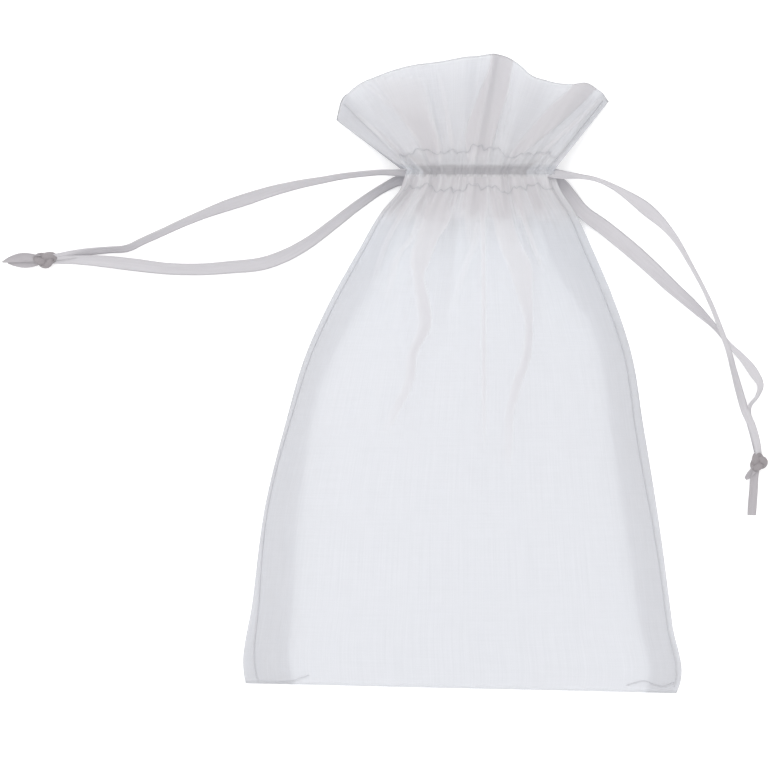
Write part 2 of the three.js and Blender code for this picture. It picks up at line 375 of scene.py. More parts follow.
@dataclass(frozen=True)
class RibbonFinish:
    """Narrow satin-faced ribbon with fine lengthwise ribs."""

    rib: float = 0.38 * MM
    pick: float = 0.3 * MM
    through_share: float = 0.18
    name: str = "ribbon"
    face: tuple = (0.715, 0.70, 0.73, 1)
    groove: tuple = (0.52, 0.505, 0.53, 1)
    glow: tuple = (0.60, 0.585, 0.61, 1)

    def material(self) -> bpy.types.Material:
        """Builds the material from the place across and along the ribbon."""
        shader = Shader(self.name)
        across, along = shader.cloth_place()
        ribs = (across * (math.pi / self.rib)).sine().absolute()
        picks = (along * (math.pi / self.pick)).sine().absolute()
        wear = shader.streaks(across, along, 0.7 * MM, 14 * MM, 2.0)
        tone = shader.blend(self.groove, self.face, 0.2 + 0.45 * ribs + 0.5 * wear)
        bump = shader.bump(ribs + 0.35 * picks, 0.5, 0.08 * MM)
        face = shader.node(
            "ShaderNodeBsdfPrincipled",
            inputs={
                "Base Color": tone, "Roughness": 0.42 + 0.2 * wear, "Specular IOR Level": 0.45,
                "Sheen Weight": 0.3, "Sheen Roughness": 0.35, "Normal": bump,
            },
        )[0]
        return shader.finish(shader.lit_through(face, self.glow, self.through_share))


@dataclass(frozen=True)
class ThreadFinish:
    """Two-ply sewing thread with its twist."""

    twist: float = 0.45 * MM
    light: tuple = (0.60, 0.60, 0.63, 1)
    dark: tuple = (0.40, 0.40, 0.42, 1)

    def material(self) -> bpy.types.Material:
        """Builds the material; the twist runs slantwise round the thread."""
        shader = Shader("thread")
        around, along = shader.cloth_place()
        twist = ((around * 2 + along) * (math.pi / self.twist)).sine().absolute()
        tone = shader.blend(self.dark, self.light, 0.2 + 0.8 * twist)
        bump = shader.bump(twist, 0.6, 0.05 * MM)
        surface = shader.node(
            "ShaderNodeBsdfPrincipled",
            inputs={"Base Color": tone, "Roughness": 0.6, "Sheen Weight": 0.2, "Normal": bump},
        )[0]
        return shader.finish(surface)


@dataclass(frozen=True)
class TableFinish:
    """Matte white paper under the pouch."""

    white: tuple = (0.90, 0.90, 0.90, 1)
    fibre: tuple = (0.885, 0.885, 0.885, 1)
    glow: float = 0.32

    def material(self) -> bpy.types.Material:
        """Builds the material with a very faint fibre pattern."""
        shader = Shader("table_paper")
        place = shader.node("ShaderNodeTexCoord")[3]
        grain = shader.node(
            "ShaderNodeTexNoise", inputs={"Vector": place, "Scale": 400.0, "Detail": 3.0}
        )[0]
        color = shader.blend(self.fibre, self.white, grain)
        surface = shader.node(
            "ShaderNodeBsdfPrincipled",
            inputs={
                "Base Color": color, "Roughness": 0.9, "Specular IOR Level": 0.0,
                "Emission Color": self.white, "Emission Strength": self.glow,
            },
        )[0]
        return shader.finish(surface)


# ---- The pouch's cloth ----


class Wall(Enum):
    """The two walls of the folded sheet."""

    FRONT = 1
    BACK = -1


class Ply(Enum):
    """How far a layer lies inside its wall, in spacings between layers."""

    WALL = 0
    WALL_ALLOWANCE = 1
    FACING_ALLOWANCE = 2
    FACING = 3


@dataclass(frozen=True)
class Fold:
    """A band of cloth folded flat on itself, or a single raised crease.

    Attributes:
        route: rows of y, left edge, right edge and strength, from the lowest y to the highest.
        lift: how far the folded band stands proud.
        soft: how gradual its left and right edges are.
        extra: how many layers the fold adds where its strength is 1.
    """

    route: Points
    lift: float = 0.1
    soft: tuple[float, float] = (0.5, 0.5)
    extra: float = 2

    @classmethod
    def crease(cls, route: Points) -> "Fold":
        """Makes a single taut crease: a raised ridge with no more cloth in it."""
        return cls(route, lift=0.45, soft=(0.6, 0.6), extra=0)

    def depth(self, x: np.ndarray, y: np.ndarray) -> np.ndarray:
        """Says how strongly each point lies in the fold, from 0 to 1."""
        left, right, strength = (through(self.route, y, column) for column in (1, 2, 3))
        along = (y >= self.route[0][0]) * (y <= self.route[-1][0])
        inside = ease(x, left - self.soft[0], left + self.soft[0])
        inside = inside * (1 - ease(x, right - self.soft[1], right + self.soft[1]))
        return inside * strength * along


@dataclass
class PouchCloth:
    """The sheet of organza, from one facing's raw edge over the mouth and round the bottom to the other's.

    Attributes:
        flat_half_width: half the pouch's width where it lies flat, at the bottom fold.
        neck_y: the y of the neck.
        bottom_y: the y of the bottom fold's middle.
        bottom_slant: the bottom fold's rise toward its right end.
        spacing: between two layers that lie on each other.
        table_gap: the least height of the cloth above the table, and the usual one of the back wall.
        casing_room: between wall and facing where the ribbons run.
        lower_row: the place along of the lower row of casing stitches.
        upper_row: the place along of the upper row.
        facing_edge: the place along of the facing's raw edge.
        frayed: how far the raw edge wavers, in slow waves and in fine ones, as a place along.
        ribbon_y: where the ribbon presses the front wall flat.
        pressed_open: the cloth's density over the ribbon.
        allowance_density: the density of the turned-in seam allowances.
        allowance_flat: a seam allowance's width in flat cloth.
        back_allowance_share: the back's allowances against the front's, so that the edges don't meet.
        density_limits: the thinnest and the densest that cloth gets.
        crowding_and_painted_light: by place along, the share of the drawn-in width that crowds the cloth
            evenly; below 0, below the neck, it thins the cloth to paint light over the shade that the
            dense neck casts there.
        small_gathers: rows of crests across, height, reach from the neck and shift of the waves.
        flutes: the height of the ruffle's flutes and their number.
        slack: the height of the slack waves in the body.
        mouth_rise: how far the middle of the mouth opens upward.
        mouth_sink: how far the sides of the mouth sink to the table.
        columns: points across the front and across the back.
        allowance_columns: points across each seam allowance.
        front_rows: rows of points along the front, between row_stops.
        back_rows: the same of the back.
        row_stops: places along where the spacing of rows changes, up the wall and down to the neck.
        facing_rows: rows of points along each facing below the neck.
        slope_samples: where a row's steepness is measured.
        left_edge: the left edge's x, by y.
        right_edge: the right edge's x, by y.
        rim: the rim's y, by x.
        gores: rows of the place across, and its x at the neck and at the rim.
        middle_height: the front wall's height along its middle, by y.
        side_height: the front wall's height along its sides, by y.
        left_allowance: the width of the left seam allowance, by y.
        right_allowance: the width of the right one, by y.
        front_folds: the folds and creases of the front.
        back_folds: those of the back.
        sheets: the finished front and back.
    """

    flat_half_width: float = 76.2
    neck_y: float = 71.6
    bottom_y: float = -109.6
    bottom_slant: float = -1.75
    spacing: float = 0.24
    table_gap: tuple[float, float] = (0.1, 0.12)
    casing_room: float = 2.0
    lower_row: float = 0.967
    upper_row: float = 1.19
    facing_edge: float = 0.915
    frayed: tuple[float, float] = (0.006, 0.0015)
    ribbon_y: float = 71.7
    pressed_open: float = 0.45
    allowance_density: float = 0.95
    allowance_flat: float = 14
    back_allowance_share: float = 0.985
    density_limits: tuple[float, float] = (0.3, 4)
    # Below 0, below the neck, this thins the cloth: painted light over the neck's shade.
    crowding_and_painted_light: Points = (
        (0, 0.03), (0.6, -0.03), (0.75, -0.22), (0.88, -0.28), (0.902, -0.2), (0.93, 0.6), (0.96, 1),
        (0.975, 1.6), (1, 1.3), (1.05, 0.35), (1.19, 0.2), (1.3, 0.1), (2, 0.05),
    )
    small_gathers: Points = ((25, 0.4, 8, 0), (13, 0.95, 17, 1.1), (6.5, 1.2, 34, 2.3))
    flutes: tuple[float, int] = (2.0, 7)
    slack: float = 0.35
    mouth_rise: float = 2.6
    mouth_sink: float = 7.6
    columns: tuple[int, int] = (366, 150)
    allowance_columns: int = 9
    front_rows: tuple[int, ...] = (6, 30, 122, 44, 24)
    back_rows: tuple[int, ...] = (4, 12, 60, 26, 18)
    row_stops: tuple[float, ...] = (0, 0.05, 0.35, 1, 2, 1)
    facing_rows: int = 10
    slope_samples: int = 800
    left_edge: Points = (
        (-108, -76.2), (-104.5, -76.8), (-79, -73.7), (-44, -69), (-17, -62.3), (9.3, -54.4), (27, -46.2),
        (44.5, -36.3), (58, -28.2), (65.6, -21.8), (71.6, -19.7),
    )
    right_edge: Points = (
        (-111.3, 75.4), (-108, 76.6), (-87.5, 73.9), (-52.3, 69.3), (-17.1, 63.7), (9.3, 59.2), (27, 53.3),
        (44.5, 45.8), (57.5, 39.4), (65.2, 34), (71.6, 31.6),
    )
    rim: Points = (
        (-44.2, 90.2), (-43.2, 94.5), (-39.4, 99.6), (-35.9, 102.3), (-29.2, 105.1), (-20.4, 107.8),
        (-6, 110), (2.8, 111.3), (16.2, 110.7), (20.1, 107.9), (22.9, 105.3), (29.2, 103.1), (38, 101.9),
        (43.6, 102.3), (48.6, 99.4), (51.4, 96.6),
    )
    gores: Points = (
        (-1, -19.7, -44.2), (-0.7, -13.6, -34.5), (-0.45, -7.6, -15.5), (-0.1, 1.6, 8), (0.2, 9.8, 16),
        (0.45, 16, 33), (0.7, 22, 44.5), (1, 31.6, 51.4),
    )
    middle_height: Points = (
        (-111, 0.5), (-100, 3.4), (-88, 5.6), (-61, 8), (-34, 8.9), (0, 9.5), (27, 9.9), (72, 10.2),
    )
    side_height: Points = (
        (-111, 0.5), (-100, 0.9), (27, 1.1), (44, 2.2), (58.6, 5.4), (66.4, 9.8), (72, 10.2),
    )
    left_allowance: Points = (
        (-108, 17), (-70, 13.6), (-30, 10.8), (-12, 8.8), (4, 9.6), (37, 13.4), (60, 10), (72, 7.5),
        (112, 6.5),
    )
    right_allowance: Points = (
        (-111, 11), (-77, 11.7), (-22, 11.9), (4, 11), (19, 10.6), (36, 14), (60, 10), (72, 7.5),
        (112, 6.5),
    )
    front_folds: tuple[Fold, ...] = (
        # The long fold down the left of the body.
        Fold((
            (-20, -28.5, -26, 0), (-11.8, -24.8, -21.8, 0.3), (-1.2, -19.8, -17.1, 0.5),
            (8.2, -18.5, -15.9, 0.65), (17.5, -15, -11.3, 0.7), (28.1, -16, -12.2, 0.7),
            (35.1, -16.9, -13.6, 0.7), (39.8, -17.7, -11.9, 0.75), (48, -16.2, -8.7, 0.75),
            (55.7, -13.6, -4.5, 0.8), (62.1, -11.6, -6.5, 0.9), (69, -10.2, -7.2, 0.7),
        ), soft=(1.3, 0.35), extra=3),
        # The fine crease down the middle.
        Fold((
            (-26, 7, 8, 0), (-12, 6.9, 8, 0.3), (10, 6.8, 8, 0.5), (40, 6.6, 7.9, 0.5), (50, 6.4, 7.8, 0.5),
            (62, 5.6, 7.4, 0.6), (69, 5.4, 7, 0.5),
        ), lift=0.06, soft=(0.5, 0.3), extra=3),
        # The long fold down the right.
        Fold((
            (-34, 14.4, 17, 0), (-22.4, 14.8, 17.5, 0.25), (-13, 15.1, 17.8, 0.35), (-3.6, 17.3, 20.2, 0.5),
            (8.2, 21.3, 23.9, 0.65), (16.4, 22.2, 24.3, 0.7), (28.1, 19.4, 24.3, 0.55),
            (38.7, 15.9, 23.9, 0.5), (48, 12.4, 19.4, 0.55), (58, 10.6, 16.6, 0.65), (69, 10.2, 14.4, 0.8),
        ), soft=(1, 0.3), extra=3),
        # A taut crease on the right shoulder.
        Fold.crease((
            (37, 26.6, 27.8, 0), (43.3, 23.4, 24.8, 0.9), (60.9, 17.4, 18.8, 0.9), (68, 16, 17.2, 0.5),
        )),
        # The soft pleat beside it.
        Fold((
            (36, 28, 29.4, 0), (43.3, 24.9, 26.4, 0.4), (60.9, 19, 20.4, 0.6), (69, 17.4, 18.8, 0.6),
        ), lift=0.08),
        # A short taut crease right of the middle.
        Fold.crease(((51, 13.6, 14.8, 0), (56, 12.6, 13.8, 0.9), (68, 9.6, 10.6, 0.9))),
        # The broad short pleat under the middle of the neck.
        Fold(((44, 1.6, 4, 0), (55, 0.8, 5.4, 0.4), (69, 0.4, 5, 0.7)), soft=(0.8, 0.8)),
        # A faint slanting crease across the middle.
        Fold((
            (20, -5.6, -3.4, 0), (38.7, 0, 2, 0.22), (46.9, 3.2, 5.2, 0.3), (54, 4.6, 6.2, 0.2),
        ), lift=0.05, soft=(0.9, 0.9)),
        # The outer pleat on the left shoulder.
        Fold((
            (26, -28, -25.5, 0), (35, -25.6, -23.4, 0.25), (43.4, -22.8, -21, 0.35),
            (48, -19.2, -17.2, 0.35), (60, -15.2, -13.6, 0.4), (69, -13.6, -12.2, 0.5),
        ), lift=0.08, soft=(0.8, 0.5)),
        # A taut crease on the left shoulder.
        Fold.crease((
            (45, -17.6, -16.4, 0), (51.6, -15.8, -14.6, 0.9), (62, -13, -11.8, 0.9),
            (69, -11.8, -10.8, 0.5),
        )),
        # A short taut crease left of the middle.
        Fold.crease(((58, -4, -2.4, 0), (64, -3.4, -1.8, 0.9), (69, -3, -1.6, 0.5))),
        # The outer pleat on the right shoulder.
        Fold(((54, 27, 29.6, 0), (61, 24.2, 26.4, 0.4), (69, 22, 24, 0.6)), lift=0.08, soft=(0.6, 0.4)),
        # A faint pleat out to the left side.
        Fold((
            (30, -33, -31, 0), (48, -27.2, -25.4, 0.3), (60, -20.6, -19, 0.4), (69, -17.4, -16, 0.5),
        ), lift=0.08),
        # The wide pleat up the middle of the ruffle.
        Fold((
            (74, 2, 8, 0), (77, 1.6, 9, 0.5), (83, 0.9, 10.8, 0.95), (90.7, 2.6, 12.9, 1),
            (98.4, 5.6, 15.4, 1), (108, 9.3, 17, 0.95), (113, 10, 17.6, 0.95),
        ), lift=0.28, soft=(0.22, 0.22)),
        # The taut crease at its right.
        Fold.crease((
            (79, 11.6, 13, 0), (84, 12.2, 13.8, 0.9), (98.4, 15.3, 17, 0.9), (106, 16, 17.6, 0.5),
        )),
        # The wide pleat to the right of the ruffle.
        Fold((
            (74, 15, 17, 0), (77, 16.4, 19.8, 0.5), (82, 20, 26, 0.8), (87.4, 24.5, 32.7, 0.9),
            (94, 30.4, 39.9, 0.95), (100.6, 37.6, 46.4, 1), (104, 40, 49, 1),
        ), lift=0.28, soft=(0.4, 0.25), extra=2.5),
        # The wide pleat to the left of the ruffle.
        Fold((
            (74, -11.5, -8, 0), (77, -12.4, -7.9, 0.5), (82.4, -15.4, -8.9, 0.8), (89.5, -20.6, -11.2, 0.6),
            (95.4, -25, -12.6, 0.3), (104, -31, -14, 0.1),
        ), lift=0.22, soft=(0.5, 1.4), extra=3),
        # The narrow pleat beside it.
        Fold((
            (79, -14.4, -12.8, 0.1), (86, -18.6, -17, 0.35), (92, -23, -21.3, 0.4), (98, -29.8, -28.2, 0.3),
            (103, -36, -34, 0),
        ), lift=0.12),
        # The taut crease between it and the middle.
        Fold.crease((
            (77, -8.2, -7, 0), (82, -9.2, -7.8, 0.9), (92, -11.6, -10, 0.9), (104, -14, -12.4, 0),
        )),
        # A narrow pleat at the far right.
        Fold((
            (76, 25, 26.4, 0), (80, 28.8, 30.4, 0.4), (88, 37.6, 39.4, 0.5), (97, 47.4, 49.2, 0.4),
        ), lift=0.12),
        # A faint pleat near the middle.
        Fold((
            (76, -3.4, -2.4, 0), (80, -4.4, -3, 0.3), (92, -6.4, -5, 0.3), (106, -9, -7.6, 0.05),
        ), lift=0.08),
        # A narrow pleat at the far left.
        Fold((
            (76, -20, -18.4, 0), (80, -24.4, -22.6, 0.35), (86, -31.6, -29.8, 0.35),
            (92, -38.4, -36.4, 0.1),
        ), lift=0.12),
    )
    back_folds: tuple[Fold, ...] = (
        # The long fold of the back.
        Fold(((10, -10, -6, 0), (40, -8, -3, 0.4), (69, -5, -1, 0.6)), lift=0.1, soft=(1.2, 0.5)),
        # The fold down its right.
        Fold(((16, 25, 28, 0), (44, 22, 26, 0.4), (69, 18, 21, 0.6)), lift=0.1, soft=(0.5, 1.2)),
        # The pleat up its ruffle.
        Fold((
            (75, 18, 20, 0), (80, 18.4, 22, 0.5), (88, 19.8, 25.4, 0.7), (106, 22.6, 30, 0.7),
        ), lift=0.15),
        # The pleat to the ruffle's left.
        Fold((
            (75, -10, -8, 0), (80, -12.4, -9.6, 0.5), (90, -19, -15, 0.6), (104, -26, -22, 0.4),
        ), lift=0.12),
    )
    sheets: dict[Wall, bpy.types.Object] = field(default_factory=dict)

    def plan(self, u: np.ndarray, h: np.ndarray) -> tuple[np.ndarray, np.ndarray]:
        """Finds a place of the smooth cloth seen from above.

        Args:
            u: the place across, from -1 at the left edge to 1 at the right.
            h: the place along, 0 at the bottom fold, 1 at the neck and 2 at the rim.

        Returns:
            Its x and y.
        """
        low, high = np.minimum(h, 1), np.maximum(h, 1) - 1
        slant = self.bottom_slant * u * (1 - ease(low, 0, 0.15))
        y = mix(self.bottom_y, self.neck_y, low) + slant
        neck_x = through(self.gores, u, 1)
        neck_u = 2 * (neck_x - self.gores[0][1]) / (self.gores[-1][1] - self.gores[0][1]) - 1
        spread = mix(u, neck_u, ease(low, 0.55, 1))
        x = mix(through(self.left_edge, y), through(self.right_edge, y), (spread + 1) / 2)
        rim_x = through(self.gores, u, 2)
        rim_y = through(self.rim, rim_x)
        return mix(x, rim_x, high), mix(y, rim_y, high)

    def gathers(self, u: np.ndarray, h: np.ndarray, y: np.ndarray, wall: Wall) -> np.ndarray:
        """The height of the gathers that spread from the neck, of the flutes and of the slack waves."""
        away = np.abs(y - self.neck_y)
        phase = 0.7 if wall is Wall.FRONT else 2.9
        gathers = sum(
            height * np.exp(-away / reach) * ripple(crests, u, phase + shift)
            for crests, height, reach, shift in self.small_gathers
        )
        height, count = self.flutes
        flute = height * ease(h, 1.1, 2) * ripple(count, u, phase + 0.4)
        along_wave = np.sin(0.045 * y + 2.1 * u + phase)
        across_wave = np.sin(3.7 * u - 0.02 * y)
        slack = self.slack * along_wave * across_wave * ease(1 - np.abs(u), 0, 0.2)
        return gathers + flute + slack * (1 - ease(h, 0.8, 1))

    def surface(self, u: np.ndarray, h: np.ndarray, wall: Wall, ply: Ply) -> np.ndarray:
        """Finds points of one layer of one wall.

        Args:
            u: places across.
            h: places along.
            wall: the front or the back wall.
            ply: which layer.

        Returns:
            Points with x, y and z along the last axis.
        """
        u, h = np.broadcast_arrays(np.asarray(u, float), np.asarray(h, float))
        x, y = self.plan(u, h)
        above = np.maximum(h, 1) - 1
        gathers = self.gathers(u, h, y, wall)
        edge_calm = ease(1 - np.abs(u), 0, 0.05)
        opens = ease(h, self.lower_row - 0.01, self.lower_row + 0.02)
        closes = 1 - ease(h, self.upper_row - 0.03, self.upper_row)
        casing = opens * closes
        in_facing = ply in (Ply.FACING, Ply.FACING_ALLOWANCE)
        gathers = gathers * mix(0.25, 1, edge_calm)
        if in_facing:
            gathers = gathers * (1 - 0.85 * casing)
        spacing = self.spacing * mix(0.45, 1, ease(h, 0, 0.1))
        spacing = spacing * mix(1, 0.2, ease(above, 0.93, 1))
        inward = ply.value * spacing + self.casing_room * casing * in_facing
        if wall is Wall.FRONT:
            middle = through(self.middle_height, y) + self.mouth_rise * ease(above, 0.1, 1)
            side = through(self.side_height, y) - self.mouth_sink * ease(above, 0.1, 0.9)
            dome = 1 - u * u
            z = mix(side, middle, dome) + gathers - inward
        else:
            calm = mix(1, 0.12, ease(h, 0.85, 0.95) * (1 - ease(h, 1.2, 1.4)))
            z = self.table_gap[1] + calm * gathers + inward
        z = z + sum(fold.lift * fold.depth(x, y) for fold in self._folds(wall))
        lowest = self.table_gap[0] + inward * (wall is Wall.BACK)
        return np.stack([x, y, np.maximum(z, lowest)], axis=-1)

    def _folds(self, wall: Wall) -> tuple[Fold, ...]:
        """The folds that lie in one wall and its facing."""
        return self.front_folds if wall is Wall.FRONT else self.back_folds

    def _columns(self, count: int) -> tuple[np.ndarray, np.ndarray, np.ndarray]:
        """Lists a sheet's columns: which side's allowance each is in, its share of it, and its u."""
        strip = self.allowance_columns
        side = np.concatenate([np.full(strip, -1), np.zeros(count, int), np.full(strip, 1)])
        share = np.concatenate([np.linspace(1, 0, strip), np.zeros(count), np.linspace(0, 1, strip)])
        u = np.concatenate([np.full(strip, -1.0), np.linspace(-1, 1, count), np.full(strip, 1.0)])
        return side, share, u

    def _rows(self, wall: Wall) -> list[tuple[Wall, bool, float]]:
        """Lists a sheet's rows from the fold up: wall, whether it is in the facing, and place along."""
        counts = self.front_rows if wall is Wall.FRONT else self.back_rows
        rows = [(Wall.BACK, False, 0.0)] if wall is Wall.FRONT else []
        for start, end, count in zip(self.row_stops, self.row_stops[1:], counts):
            facing = end < start
            rows += [(wall, facing, h) for h in np.linspace(start, end, count, endpoint=False)]
        return rows + [(wall, True, h) for h in np.linspace(1, self.facing_edge, self.facing_rows)]

    def _tightness(
        self, x: np.ndarray, y: np.ndarray, u: np.ndarray, h: float, wall: Wall, facing: bool
    ) -> np.ndarray:
        """Works out how many times denser than flat cloth a row of one wall is, seen from above.

        Args:
            x: the row's places before pleating.
            y: the same places' y.
            u: their places across.
            h: the row's place along.
            wall: the wall they are in.
            facing: whether the row is in the facing.

        Returns:
            The density of each point; it is highest on the steep sides of the gathers.
        """
        full = 2 * self.flat_half_width / (x[-1] - x[0])
        span = np.linspace(-1, 1, self.slope_samples)
        span_x, span_y = self.plan(span, np.full_like(span, h))
        slope = np.abs(np.gradient(self.gathers(span, np.full_like(span, h), span_y, wall), span_x))
        steep = np.interp(u, span, slope) / max(float(slope.mean()), 1e-4)
        share = mix(np.clip(0.2 + 0.8 * steep, 0.1, 2.4), 0.4, ease(h, 1.15, 1.6))
        crowding_and_painted_light = float(through(self.crowding_and_painted_light, np.array([h]))[0])
        if facing:
            crowding_and_painted_light = max(crowding_and_painted_light, 0.35)
        if self.lower_row < h < self.upper_row and wall is Wall.FRONT:
            crowding_and_painted_light = crowding_and_painted_light * (0.25 if facing else 0.75)
        # Below 0 the cloth is thinned evenly: painted light over the shade that the dense neck casts on the
        # body below it.
        density = 1 + (full - 1) * crowding_and_painted_light * (share if crowding_and_painted_light > 0 else np.ones_like(u))
        for fold in self._folds(wall):
            density = density * (1 + fold.extra * fold.depth(x, y))
        if wall is Wall.FRONT and not facing:
            density = mix(density, self.pressed_open, np.exp(-(((y - self.ribbon_y) / 2.2) ** 6)))
        return np.clip(density, *self.density_limits)

    def _build_wall(self, wall: Wall) -> bpy.types.Object:
        """Builds one wall with its facing and its turned-in seam allowances."""
        side, share, wall_u = self._columns(self.columns[0 if wall is Wall.FRONT else 1])
        lengths = {-1: self.left_allowance, 1: self.right_allowance}
        points, across, gather = [], [], []
        for row_wall, facing, h in self._rows(wall):
            x, y = self.plan(wall_u, np.full_like(wall_u, h))
            u = wall_u.copy()
            flat = wall_u * self.flat_half_width
            for way, table in lengths.items():
                of = side == way
                wide = through(table, y[of]) * (self.back_allowance_share if wall is Wall.BACK else 1)
                u[of] = way * (1 - 2 * share[of] * wide / (x[-1] - x[0]))
                flat[of] = way * (self.flat_half_width + share[of] * self.allowance_flat)
            plies = (Ply.FACING, Ply.FACING_ALLOWANCE) if facing else (Ply.WALL, Ply.WALL_ALLOWANCE)
            at_raw_edge = facing and h <= self.facing_edge + 1e-6
            slow, fine = self.frayed
            frayed = (slow * np.sin(0.23 * flat) + fine * np.sin(1.7 * flat + 1)) * at_raw_edge
            hs = np.full_like(u, h) + frayed
            layers = [self.surface(u, hs, row_wall, ply) for ply in plies]
            points.append(np.where((side == 0)[:, None], *layers))
            across.append(flat)
            density = self._tightness(x, y, wall_u, h, wall, facing)
            gather.append(np.where(side == 0, density, self.allowance_density))
        points = np.array(points)
        along = np.repeat(run_along(points[:, len(side) // 2])[:, None], len(side), axis=1)
        uv = np.stack([np.array(across), along], axis=-1)
        faces = grid_faces(points.shape[0], points.shape[1])
        if wall is Wall.BACK:
            faces = [face[::-1] for face in faces]
        name = f"pouch_{wall.name.lower()}_cloth"
        sheet = new_mesh(name, points.reshape(-1, 3), faces, uv.reshape(-1, 2))
        # The gather sets both the organza's opacity and how far its colour darkens with painted shade.
        tightness = sheet.data.attributes.new("gather", "FLOAT", "POINT")
        tightness.data.foreach_set("value", np.array(gather, np.float32).ravel())
        return sheet

    def build(self) -> None:
        """Builds the front and the back of the sheet, which meet at the bottom fold."""
        for wall in Wall:
            self.sheets[wall] = self._build_wall(wall)
            log.info("%s: %d faces", self.sheets[wall].name, len(self.sheets[wall].data.polygons))

    def dress(self, organza: bpy.types.Material) -> None:
        """Gives the sheets their material and their place in the frame."""
        nodes = {
            Wall.FRONT: ("front_panel", "front_facing", "left_seam_allowance"),
            Wall.BACK: ("back_panel", "back_facing", "right_seam_allowance"),
        }
        for wall, sheet in self.sheets.items():
            sheet.data.materials.append(organza)
            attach(sheet, "pouch")
            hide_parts(*nodes[wall])


# ---- Sewing ----


@dataclass
class Stitching:
    """The pouch's rows of sewing thread and their loose ends.

    Attributes:
        cloth: the cloth that is sewn.
        radius: the thread's radius.
        stitch: the length of a stitch.
        rise: the thread's height over the cloth at its holes, and how much it rises between them.
        loose_rise: the loose ends' height over the cloth.
        seam_runs: rows of start, end and number of points, as places along, below and above the neck.
        casing_span: how far out the casing rows go, as a place across.
        casing_wander: how far the lower and the upper row stray, as a place along.
        left_inset: how far the left side seam runs inside the edge, by y.
        right_inset: how far the right one does, by y.
        pieces: the finished threads.
    """

    cloth: PouchCloth
    radius: float = 0.13
    stitch: float = 2.6
    rise: tuple[float, float] = (0.14, 0.1)
    loose_rise: float = 0.35
    seam_runs: Points = ((0.012, 0.985, 420), (1.12, 1.96, 110))
    casing_span: float = 0.93
    casing_wander: tuple[float, float] = (0.010, 0.045)
    left_inset: Points = ((-108, 4.6), (-70, 1.7), (-35, 1), (0, 1.8), (33, 2.2), (72, 1.8), (97, 3))
    right_inset: Points = ((-111, 1.8), (-60, 2), (-30, 2.9), (4, 2.6), (42, 2.6), (72, 1.8), (97, 3))
    pieces: list[bpy.types.Object] = field(default_factory=list)

    def _sewn(self, path: np.ndarray) -> np.ndarray:
        """Presses a thread's path into the cloth at each needle hole."""
        run = run_along(path)
        path = path.copy()
        path[:, 2] += self.rise[0] + self.rise[1] * np.abs(np.sin(math.pi * run / self.stitch))
        return path

    def _keep(self, piece: bpy.types.Object, thread: bpy.types.Material, node: str) -> None:
        """Dresses a thread and puts it in place of its CAD node."""
        piece.data.materials.append(thread)
        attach(piece, "pouch")
        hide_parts(node)
        self.pieces.append(piece)

    def side_seams(self, thread: bpy.types.Material) -> None:
        """Sews the two side seams through both walls, below the casing and again above it."""
        tables = {"left": (-1, self.left_inset), "right": (1, self.right_inset)}
        for name, (way, inset) in tables.items():
            runs = []
            for start, end, count in self.seam_runs:
                h = np.linspace(start, end, count)
                x_left, y = self.cloth.plan(np.full_like(h, -1), h)
                x_right, _ = self.cloth.plan(np.full_like(h, 1), h)
                share = through(inset, y) / ((x_right - x_left) / 2)
                line = self.cloth.surface(way * (1 - share), h, Wall.FRONT, Ply.WALL)
                runs.append(tube(f"{name}_seam_stitches", self._sewn(line), self.radius))
            only(runs[1])
            runs[0].select_set(True)
            bpy.context.view_layer.objects.active = runs[0]
            bpy.ops.object.join()
            self._keep(runs[0], thread, f"{name}_seam_thread")

    def casing_rows(self, thread: bpy.types.Material) -> None:
        """Sews the two rows that hold each facing and make the casing between them."""
        u = np.linspace(-self.casing_span, self.casing_span, 460)
        lower, upper = self.casing_wander
        rows = {"lower": (self.cloth.lower_row, lower), "upper": (self.cloth.upper_row, upper)}
        for row, (h, wander) in rows.items():
            for wall in Wall:
                phase = 1.3 if wall is Wall.FRONT else 4
                waves = 0.5 * np.sin(9 * u + phase) + 0.4 * np.sin(23 * u + 2 * phase) + 0.3 * np.sin(57 * u)
                looped = u + 0.012 * np.sin(41 * u + phase)
                path = self.cloth.surface(looped, h + wander * waves, wall, Ply.WALL)
                path = self._sewn(path) if wall is Wall.FRONT else path + np.array((0, 0, 0.1))
                name = wall.name.lower()
                piece = tube(f"{name}_{row}_casing_stitches", path, self.radius)
                self._keep(piece, thread, f"{name}_{row}_casing_thread")

    def loose_ends(self, thread: bpy.types.Material) -> None:
        """Leaves the ends of the side seams' threads lying along the bottom fold."""
        ends = {
            "left": (
                (-72.4, -106.4), (-70.6, -107.4), (-66, -107.6), (-61, -107.4), (-57.4, -106.2),
                (-54, -104.9),
            ),
            "right": (
                (74.4, -107.6), (71, -108.9), (67.6, -108.4), (64, -107), (61, -107.6), (57.6, -108.6),
            ),
        }
        for name, route in ends.items():
            t = np.linspace(0, len(route) - 1, 60)
            spots = np.array(route)
            table = np.column_stack([np.arange(len(route)), spots])
            x, y = through(table, t, 1), through(table, t, 2)
            h = (y - self.cloth.bottom_y) / (self.cloth.neck_y - self.cloth.bottom_y)
            half = 76.4  # half the wall's width where the ends lie
            z = self.cloth.surface(x / half, np.maximum(h, 0.005), Wall.FRONT, Ply.WALL)[:, 2]
            path = np.column_stack([x, y, z + self.loose_rise])
            self._keep(tube(f"{name}_loose_thread", path, self.radius), thread, f"{name}_thread_tail")


# ---- Drawstrings ----


